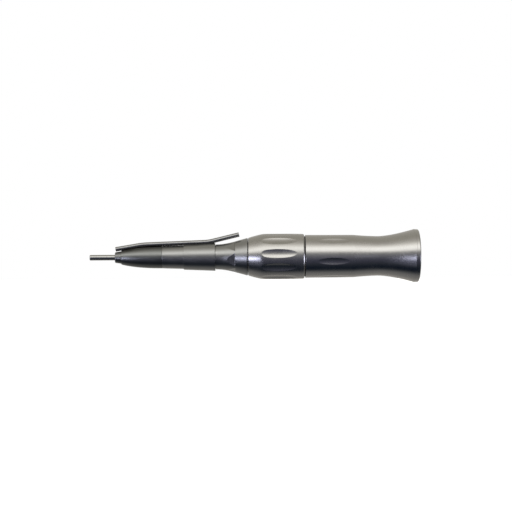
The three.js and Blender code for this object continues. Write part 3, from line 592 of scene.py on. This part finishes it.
def tube_route():
    """Centre line of the spray tube: nozzle, bend at the nose, bend on the clip, and the tail that ends at its box."""
    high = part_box("spray_tube")[1]
    slope = TUBE["tail_angle"]
    tail = (
        high.x / MM - TUBE["radius"] * math.sin(slope),
        high.z / MM - TUBE["radius"] * math.cos(slope) - TUBE["below_box"],
    )
    clip_bend = (TUBE["clip_bend"], tail[1] - (tail[0] - TUBE["clip_bend"]) * math.tan(slope))
    corners = [
        (*TUBE["nozzle"], 0),
        (*TUBE["nose_bend"], TUBE["nose_rounding"]),
        (*clip_bend, TUBE["clip_rounding"]),
        (*tail, 0),
    ]
    return rounded(corners, closed=False, steps=14)


def spray_tube(route):
    """Thin drawn tube: its wall's section, square cut at both ends, carried along the route."""
    length = np.hypot(*np.diff(route, axis=0).T).sum()
    corners = [
        (0, TUBE["bore"], 0.06),
        (0, TUBE["radius"], 0.1),
        (length, TUBE["radius"], 0.1),
        (length, TUBE["bore"], 0.06),
    ]
    return swept("spray_tube_pipe", route, spaced(rounded(corners), 0.4))


def clip_sleeve(route):
    """Sleeve pushed over the neck. On top the radius rises in a smooth step towards the middle, for the brazed seam
    along the tube, and it stops at the tube's underside."""
    bore_front = HOUSING["land_radius"] + RUNNING / 2
    bore_back = HOUSING["neck_radius"] + RUNNING
    front_radius = HOUSING["land_radius"] + GAP + 0.32
    corners = [
        (CLIP_FRONT, bore_front, 0.04),
        (CLIP_FRONT, front_radius, 0.08),
        (CLIP_BACK, CLIP_RADIUS, 0.06),
        (CLIP_BACK, bore_back, 0.06),
    ]
    seam_rise, seam_inner, seam_outer = 0.22, 0.6, 1.3

    def brazed(x, angle, radius):
        y = -radius * np.cos(angle)
        height = np.interp(x, route[:, 0], route[:, 1])
        on_top = (np.sin(angle) > 0) & (radius > HOUSING["neck_radius"] + RUNNING + 0.02)
        share = np.clip((seam_outer - np.abs(y)) / (seam_outer - seam_inner), 0, 1)
        ends = np.clip((x - CLIP_FRONT - 0.3) / 0.6, 0, 1) * np.clip((CLIP_BACK - 0.5 - x) / 0.6, 0, 1)
        seam = radius + seam_rise * share**2 * (3 - 2 * share) * ends
        under = height - np.sqrt(np.clip(TUBE["radius"] ** 2 - y**2, 0, None)) + 0.02
        lowered = np.where(np.abs(y) < TUBE["radius"], np.minimum(seam, np.hypot(under, y)), seam)
        return np.where(on_top, lowered, radius)

    outline = spaced(rounded(corners), 0.25)
    return turned("spray_clip_sleeve", outline, 512, brazed)


# ---------------------------------------------------------------------------------------------------------------
# Materials


def linear(hex_code):
    """A colour written as sRGB hex, as the linear values that shaders take."""
    channels = [int(hex_code[i : i + 2], 16) / 255 for i in (1, 3, 5)]
    return [c / 12.92 if c <= 0.04045 else ((c + 0.055) / 1.055) ** 2.4 for c in channels] + [1]


def add(tree, kind, sockets=None, **settings):
    """Adds a shader node with its settings. A socket takes a number, a colour, another node's output, or a whole
    node, which stands for the first of its outputs in use."""
    node = tree.nodes.new("ShaderNode" + kind)
    for key, value in settings.items():
        setattr(node, key, value)
    for key, value in (sockets or {}).items():
        if isinstance(value, bpy.types.Node):
            value = next(output for output in value.outputs if output.enabled)
        if isinstance(value, bpy.types.NodeSocket):
            tree.links.new(value, node.inputs[key])
        else:
            node.inputs[key].default_value = value
    return node


def surface(name, **sockets):
    """A material with one principled shader, whose uniform settings go on its own sockets."""
    material = bpy.data.materials.new(name)
    material.use_nodes = True
    tree = material.node_tree
    shader = tree.nodes["Principled BSDF"]
    for key, value in sockets.items():
        shader.inputs[key].default_value = value
    return tree, shader, material


# Colours that use gives every metal here: bare rubbed edges, and the dark painted shade laid into crevices and under
# the spray tube.
RUBBED = "#DEDDDA"
PAINTED_SHADE = "#2E2D2C"
POLISH_PATCH = 5.5  # size in millimetres of the slow cloudiness that hand polishing leaves
TUBE_SHADE_REACH = (  # where the painted shade under the spray tube ends and where it is full: to the side, in height, and behind the clip
    ("aside", 3.7, 2.1),
    ("Z", 1.2, 3.0),
    ("X", CLIP_BACK + 9, CLIP_BACK - 2),
)
# How far a noise is drawn out along x, y and z: small numbers draw it out.
ROUND_THE_AXIS = (1, 0.03, 0.03)
ALONG_THE_AXIS = (0.03, 1, 1)


def grooved_metal(
    name, light, dark, roughness, pitch, depth, stretch=ROUND_THE_AXIS, spread=0.06, mottle=0.04, tube_shade=0
):
    """Metal with fine tool lines: a noise drawn out along the lines, over a slow mottling of the polish.

    Edges are rubbed brighter and smoother; crevices are darkened with painted shade. Where asked for, painted shade
    also darkens the strip of the surface under the spray tube, in place of the tube's shadow. Real tool lines are 0.02
    to 0.05 mm apart, too fine to show, so they are drawn as coarse as the pitch given in millimetres."""
    tree, shader, material = surface(name, Metallic=1)
    place = add(tree, "TexCoord").outputs["Object"]
    drawn = add(tree, "Mapping", {"Vector": place, "Scale": stretch})
    lines = add(tree, "TexNoise", {"Vector": drawn, "Scale": 1 / (pitch * MM), "Detail": 3})
    patches = add(tree, "TexNoise", {"Vector": place, "Scale": 1 / (POLISH_PATCH * MM), "Detail": 4, "Roughness": 0.6})
    sharpness = add(tree, "NewGeometry").outputs["Pointiness"]
    edge = add(
        tree,
        "MapRange",
        {"Value": sharpness, "From Min": 0.53, "From Max": 0.62, "To Max": 0.5},
        interpolation_type="SMOOTHSTEP",
    )
    # Painted shade: the colour is darkened where the surface is hollow, in crevices.
    crevice_shade = add(
        tree,
        "MapRange",
        {"Value": sharpness, "From Min": 0.47, "From Max": 0.38, "To Max": 0.7},
        interpolation_type="SMOOTHSTEP",
    )
    tone = add(tree, "Mix", {"Factor": patches, "A": linear(dark), "B": linear(light)}, data_type="RGBA")
    tone = add(tree, "Mix", {"Factor": edge, "A": tone, "B": linear(RUBBED)}, data_type="RGBA")
    tone = add(tree, "Mix", {"Factor": crevice_shade, "A": tone, "B": linear(PAINTED_SHADE)}, data_type="RGBA")
    # Painted shade: the strip of the surface under the spray tube is darkened, standing in for the tube's shadow.
    if tube_shade:
        apart = add(tree, "SeparateXYZ", {"Vector": place}).outputs
        measures = {"X": apart["X"], "Z": apart["Z"]}
        measures["aside"] = add(tree, "Math", {0: apart["Y"]}, operation="ABSOLUTE")
        share = add(tree, "Math", {0: patches, 1: 0.5}, operation="ADD")
        share = add(tree, "Math", {0: share, 1: tube_shade}, operation="MULTIPLY")
        for measure, clear, covered in TUBE_SHADE_REACH:
            within = add(
                tree,
                "MapRange",
                {"Value": measures[measure], "From Min": clear * MM, "From Max": covered * MM},
                interpolation_type="SMOOTHSTEP",
            )
            share = add(tree, "Math", {0: share, 1: within}, operation="MULTIPLY")
        tone = add(tree, "Mix", {"Factor": share, "A": tone, "B": linear(PAINTED_SHADE)}, data_type="RGBA")
    line_share = add(
        tree,
        "MapRange",
        {"Value": lines, "From Min": 0.25, "From Max": 0.75, "To Min": -spread, "To Max": spread},
    )
    rough = add(
        tree,
        "MapRange",
        {
            "Value": patches,
            "From Min": 0.3,
            "From Max": 0.7,
            "To Min": roughness - mottle,
            "To Max": roughness + mottle,
        },
    )
    rubbed = add(tree, "Math", {0: edge, 1: -0.12}, operation="MULTIPLY")
    for share in (line_share, rubbed):
        rough = add(tree, "Math", {0: rough, 1: share}, operation="ADD")
    bump = add(tree, "Bump", {"Height": lines, "Distance": depth * MM, "Strength": 1.0})
    tree.links.new(tone.outputs[2], shader.inputs["Base Color"])
    tree.links.new(rough.outputs["Value"], shader.inputs["Roughness"])
    tree.links.new(bump.outputs["Normal"], shader.inputs["Normal"])
    return material


def moulded(name, light, dark, roughness, grain):
    """Plastic or rubber with a fine moulded grain and slightly uneven gloss."""
    tree, shader, material = surface(name, Metallic=0)
    place = add(tree, "TexCoord").outputs["Object"]
    fine = add(tree, "TexNoise", {"Vector": place, "Scale": 1 / (grain * MM), "Detail": 2})
    broad = add(tree, "TexNoise", {"Vector": place, "Scale": 1 / (3.0 * MM), "Detail": 3})
    tone = add(tree, "Mix", {"Factor": broad, "A": linear(dark), "B": linear(light)}, data_type="RGBA")
    rough = add(tree, "MapRange", {"Value": broad, "To Min": roughness - 0.08, "To Max": roughness + 0.08})
    bump = add(tree, "Bump", {"Height": fine, "Distance": 0.004 * MM, "Strength": 0.8})
    tree.links.new(tone.outputs[2], shader.inputs["Base Color"])
    tree.links.new(rough.outputs["Result"], shader.inputs["Roughness"])
    tree.links.new(bump.outputs["Normal"], shader.inputs["Normal"])
    return material


# Satin stainless steel, turned and then fine ground round the axis: a soft grey sheen with hair-thin rings.
satin = grooved_metal("satin_ground_stainless", "#C4C2BF", "#BAB8B5", 0.24, 0.25, 0.0006, spread=0.03)
# The same steel with a coarser grind, for grip: the sheen spreads a little wider.
ground = grooved_metal("ground_stainless_grip", "#C3C1BD", "#B7B5B2", 0.28, 0.3, 0.0006, spread=0.03)
# The same steel, fine bead-blasted before grinding: slightly duller and softer. It carries the painted shade under the
# spray tube.
matt = grooved_metal("soft_ground_stainless", "#A8A8A6", "#9E9E9C", 0.325, 0.2, 0.0004, spread=0.03, tube_shade=0.85)
# Dark hard-coated stainless steel: the same rings under a grey-black ceramic layer. It carries the painted shade under
# the spray tube too.
coated = grooved_metal("dark_coated_stainless", "#8B8C8A", "#80817F", 0.34, 0.2, 0.0005, spread=0.03, tube_shade=0.85)
# Bright drawn stainless tube: polished by the die, with faint lines along its length.
drawn = grooved_metal("bright_drawn_stainless", "#A8A8A7", "#9D9D9C", 0.25, 0.12, 0.0008, ALONG_THE_AXIS)
# Ground and polished steel: sockets, shanks and pins.
polished = grooved_metal("polished_ground_steel", "#BDBCB8", "#B3B2AE", 0.19, 0.06, 0.0005, spread=0.03)
# Bearing steel, lapped: almost mirror bright.
lapped = grooved_metal("lapped_bearing_steel", "#CFD0D0", "#C6C7C8", 0.1, 0.05, 0.0003, spread=0.02)
# Spring wire: drawn and blued slightly by its heat treatment.
wire = grooved_metal("oiled_spring_wire", "#8F8C86", "#7C7A76", 0.28, 0.08, 0.0008)
# Turned brass: warm yellow with fresh tool rings.
brass = grooved_metal("turned_brass", "#D2B173", "#C3A062", 0.24, 0.09, 0.001)
# Nitrile rubber: matt black with a moulding grain.
rubber = moulded("black_nitrile_rubber", "#1E1E1F", "#141415", 0.62, 0.12)
# White acetal: smooth moulded plastic.
acetal = moulded("white_acetal", "#DEDBD2", "#D3D0C7", 0.42, 0.2)

FINISHES = {
    "satin_steel": satin,
    "dark_steel": coated,
    "tube_steel": drawn,
    "polished_steel": polished,
    "bearing_steel": lapped,
    "spring_steel": wire,
    "brass": brass,
    "black_rubber": rubber,
    "white_plastic": acetal,
}


# ---------------------------------------------------------------------------------------------------------------
# Put the pieces on their bodies

SLOT_OF = {part["node"]: part["material_slot"] for part in frame["record"]["subparts"]}
BODY_OF = {node: body for body, nodes in frame["record"]["behaviour"]["bodies"].items() for node in nodes}


def stands_for(piece, node, material=None):
    """The piece takes a CAD node's place, on the same body and with the same finish."""
    piece.data.materials.append(material or FINISHES[SLOT_OF[node]])
    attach(piece, BODY_OF[node])
    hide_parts(node)
    return piece


for node, cad_piece in frame["nodes"].items():
    cad_piece.data.materials.clear()
    cad_piece.data.materials.append(FINISHES[SLOT_OF[node]])

stands_for(rear_sheath(), "rear_sheath")
stands_for(chuck_ring(), "chuck_ring", ground)
stands_for(front_housing(), "front_housing", matt)
stands_for(nose_cone(), "nose_cone")
stands_for(nose_tip(), "nose_tip")
stands_for(blank_bur(), "blank_bur")
stands_for(socket_sleeve(), "socket_sleeve")
for washer in ("thrust_washer", "ring_washer"):
    stands_for(plain_ring(washer + "_shell", washer, BARREL_RADIUS + GAP, 0.05), washer)

route = tube_route()
stands_for(clip_sleeve(route), "clip_sleeve", matt)
stands_for(spray_tube(route), "spray_tube")

dog_sleeve, dog_prongs = drive_dog()
stands_for(dog_sleeve, "drive_dog")
stands_for(dog_prongs, "drive_dog")


def spring(name, node, wire_radius, turns):
    """A coil spring of a CAD node's length and outer radius, on that node's body and with its finish."""
    front, back, radius = span(node)
    piece = coil(name, front, back - front, radius - wire_radius, wire_radius, turns)
    stands_for(piece, node)
    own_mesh(piece)


spring("chuck_spring_coil", "chuck_spring", 0.42, 7.5)
spring("dog_spring_coil", "dog_spring", 0.3, 4.5)


# ---------------------------------------------------------------------------------------------------------------
# Studio: a pale floor, a soft gradient all round, and softboxes

FLOOR_DROP = 0.11
VIEW_CENTRE = -68.8 * MM
SKY_STRENGTH = 1.75
# Softboxes, far enough away to be a patch of the sky: turn to the left, height and reach in degrees, power, colour.
SOFTBOXES = [
    (35.5, -10, 12, 3.0, "#D2D6F2"),
    (37, -28, 22, 0.09, "#C8CCEA"),
    (-14, -2, 6, 0.15, "#D2D6F2"),
    (-72, -9, 15, 2.4, "#E2E6FF"),
]


def studio_world():
    """A soft studio: one bright band above the front, mid grey overhead and behind, dark low in front."""
    world = bpy.data.worlds.new("studio")
    bpy.context.scene.world = world
    world.use_nodes = True
    tree = world.node_tree
    background = tree.nodes["Background"]
    direction = add(tree, "TexCoord").outputs["Generated"]
    part = add(tree, "SeparateXYZ", {"Vector": direction})
    front = add(tree, "Math", {0: part.outputs["Y"], 1: -1.0}, operation="MULTIPLY")
    turn = add(tree, "Math", {0: part.outputs["Z"], 1: front}, operation="ARCTAN2")
    place = add(tree, "MapRange", {"Value": turn, "From Min": -math.pi, "From Max": math.pi})
    ramp = add(tree, "ValToRGB", {"Fac": place})
    ramp.color_ramp.interpolation = "LINEAR"
    # Sky colours by degrees above the front horizon, on round to behind.
    bands = [
        (-180, "#A5A4A1"),
        (-150, "#8E8C88"),
        (-118, "#6E6D6C"),
        (-100, "#646464"),
        (-90, "#4E4F51"),
        (-82, "#2A2E33"),
        (-74, "#0C131D"),
        (-60, "#111823"),
        (-46, "#24282F"),
        (-20, "#383947"),
        (0, "#5A5B63"),
        (12, "#6F7073"),
        (19, "#8A8A8A"),
        (27, "#E4E3E0"),
        (33, "#FFFFFD"),
        (46, "#FFFFFC"),
        (54, "#DEDCD7"),
        (66, "#ACAAA5"),
        (80, "#928F89"),
        (95, "#89877F"),
        (125, "#8F8D86"),
        (155, "#9B9994"),
        (180, "#A5A4A1"),
    ]
    elements = ramp.color_ramp.elements
    while len(elements) < len(bands):
        elements.new(0.5)
    for element, (angle, colour) in zip(elements, bands):
        element.position = (angle + 180) / 360
        element.color = linear(colour)
    # Straight along the handpiece the bands would meet in a point, so there they fade into an even grey.
    along = add(tree, "Math", {0: part.outputs["X"]}, operation="ABSOLUTE")
    fade = add(
        tree,
        "MapRange",
        {"Value": along, "From Min": 0.75, "From Max": 0.98},
        interpolation_type="SMOOTHSTEP",
    )
    lit = add(tree, "Mix", {"Factor": fade, "A": ramp, "B": linear("#7C7C7C")}, data_type="RGBA")
    # The room is darker on the motor's side.
    dim = add(tree, "MapRange", {"Value": part.outputs["X"], "From Min": 0.3, "From Max": 0.8, "To Max": 0.5})
    lit = add(tree, "Mix", {"Factor": dim, "A": lit, "B": linear("#000000")}, data_type="RGBA")
    # A softbox is at full power within 0.45 of its reach, measured as the angle from its centre.
    for turned_left, height, reach, power, colour in SOFTBOXES:
        aside, up = math.radians(turned_left), math.radians(height)
        centre = (-math.sin(aside) * math.cos(up), -math.cos(aside) * math.cos(up), math.sin(up))
        nearness = add(tree, "VectorMath", {0: direction, 1: centre}, operation="DOT_PRODUCT")
        share = add(
            tree,
            "MapRange",
            {
                "Value": nearness,
                "From Min": math.cos(math.radians(reach)),
                "From Max": math.cos(math.radians(0.45 * reach)),
            },
            interpolation_type="SMOOTHSTEP",
        )
        glow = [power * channel for channel in linear(colour)[:3]] + [1]
        lit = add(tree, "Mix", {"Factor": share, "A": lit, "B": glow}, data_type="RGBA", blend_type="ADD")
    seen = add(tree, "LightPath").outputs["Is Camera Ray"]
    shown = add(tree, "Mix", {"Factor": seen, "A": lit, "B": linear("#FFFFFF")}, data_type="RGBA")
    strength = add(tree, "MapRange", {"Value": seen, "To Min": SKY_STRENGTH, "To Max": 1.0})
    tree.links.new(shown.outputs[2], background.inputs["Color"])
    tree.links.new(strength.outputs["Result"], background.inputs["Strength"])


def floor():
    """A wide plain pale floor, lit from above by a broad soft light that the metal doesn't mirror."""
    reach, z = 6.0, cad_low.z - FLOOR_DROP
    corners = np.array([(-reach, -reach, 0), (reach, -reach, 0), (reach, reach, 0), (-reach, reach, 0)])
    mesh = bpy.data.meshes.new("floor")
    mesh.from_pydata((corners + (0, 0, z)).tolist(), [], [(0, 1, 2, 3)])
    piece = bpy.data.objects.new("floor", mesh)
    bpy.context.scene.collection.objects.link(piece)
    tree, shader, material = surface("white_paper_sweep", Roughness=0.9)
    place = add(tree, "TexCoord").outputs["Object"]
    fibre = add(tree, "TexNoise", {"Vector": place, "Scale": 400, "Detail": 2})
    tone = add(tree, "Mix", {"Factor": fibre, "A": linear("#F2F2F0"), "B": linear("#F8F8F7")}, data_type="RGBA")
    tree.links.new(tone.outputs[2], shader.inputs["Base Color"])
    mesh.materials.append(material)
    piece.visible_glossy = False
    overhead = bpy.data.lights.new("overhead", "SUN")
    overhead.energy = 3.9
    overhead.angle = math.radians(100)
    lamp = bpy.data.objects.new("overhead", overhead)
    lamp.visible_glossy = False
    bpy.context.scene.collection.objects.link(lamp)


def camera():
    """A long lens level with the handpiece, square to its axis and rolled very slightly."""
    distance, roll = 0.528, math.radians(0.38)
    data = bpy.data.cameras.new("camera")
    data.sensor_width = 36
    data.lens = 87.4
    data.clip_start = 0.01
    eye = bpy.data.objects.new("camera", data)
    eye.location = (VIEW_CENTRE, -distance, 0.28 * MM)
    eye.rotation_mode = "XYZ"
    eye.rotation_euler = (math.pi / 2, roll, 0)
    bpy.context.scene.collection.objects.link(eye)
    bpy.context.scene.camera = eye


studio_world()
floor()
camera()
bpy.context.scene.view_settings.view_transform = "Standard"
